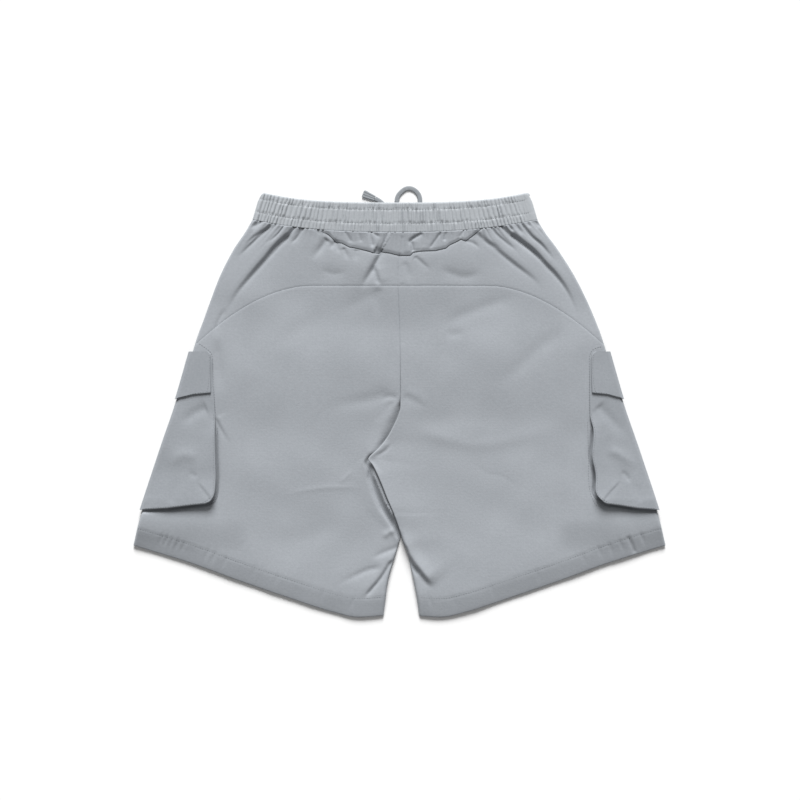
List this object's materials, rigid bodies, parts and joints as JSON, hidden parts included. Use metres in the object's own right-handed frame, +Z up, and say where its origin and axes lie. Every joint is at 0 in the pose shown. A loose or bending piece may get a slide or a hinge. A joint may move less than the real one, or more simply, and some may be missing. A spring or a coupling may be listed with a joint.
{
  "type": "cargo shorts",
  "caption": "Cargo shorts laid flat with the back up: gathered elastic waistband, V back yoke, arched seat seam, bellows pockets on the sides and a drawcord.",
  "frame": {"origin": "on the table, under the middle of the shorts' box, the cord left out of it", "axes": "+Z up from the table, out of the back of the shorts; +Y towards the waist; +X towards the wearer's right"},
  "size_m": [0.702, 0.5684, 0.0112],
  "materials": {
    "body_cloth": "grey woven nylon and cotton with a soft sheen",
    "waistband_cloth": "the same grey cloth, gathered over a wide elastic",
    "pocket_cloth": "the same grey cloth, pressed flat along its seams",
    "drawcord_braid": "dark grey flat braid",
    "drawcord_tip": "grey ribbed end of the cord, bound and pressed flat"
  },
  "bodies": {
    "root": {"waistband_back_left": "waistband_cloth", "waistband_back_right": "waistband_cloth", "waistband_front": "waistband_cloth", "back_yoke_left": "body_cloth", "back_yoke_right": "body_cloth", "back_hip_left": "body_cloth", "back_hip_right": "body_cloth", "back_leg_left": "body_cloth", "back_leg_right": "body_cloth", "front_left": "body_cloth", "front_right": "body_cloth", "pocket_bag_left": "pocket_cloth", "pocket_bag_right": "pocket_cloth", "pocket_gusset_left": "pocket_cloth", "pocket_gusset_right": "pocket_cloth", "pocket_flap_left": "pocket_cloth", "pocket_flap_right": "pocket_cloth", "drawcord_left": "drawcord_braid", "drawcord_right": "drawcord_braid", "cord_tip_left": "drawcord_tip", "cord_tip_right": "drawcord_tip"}
  },
  "joints": []
}
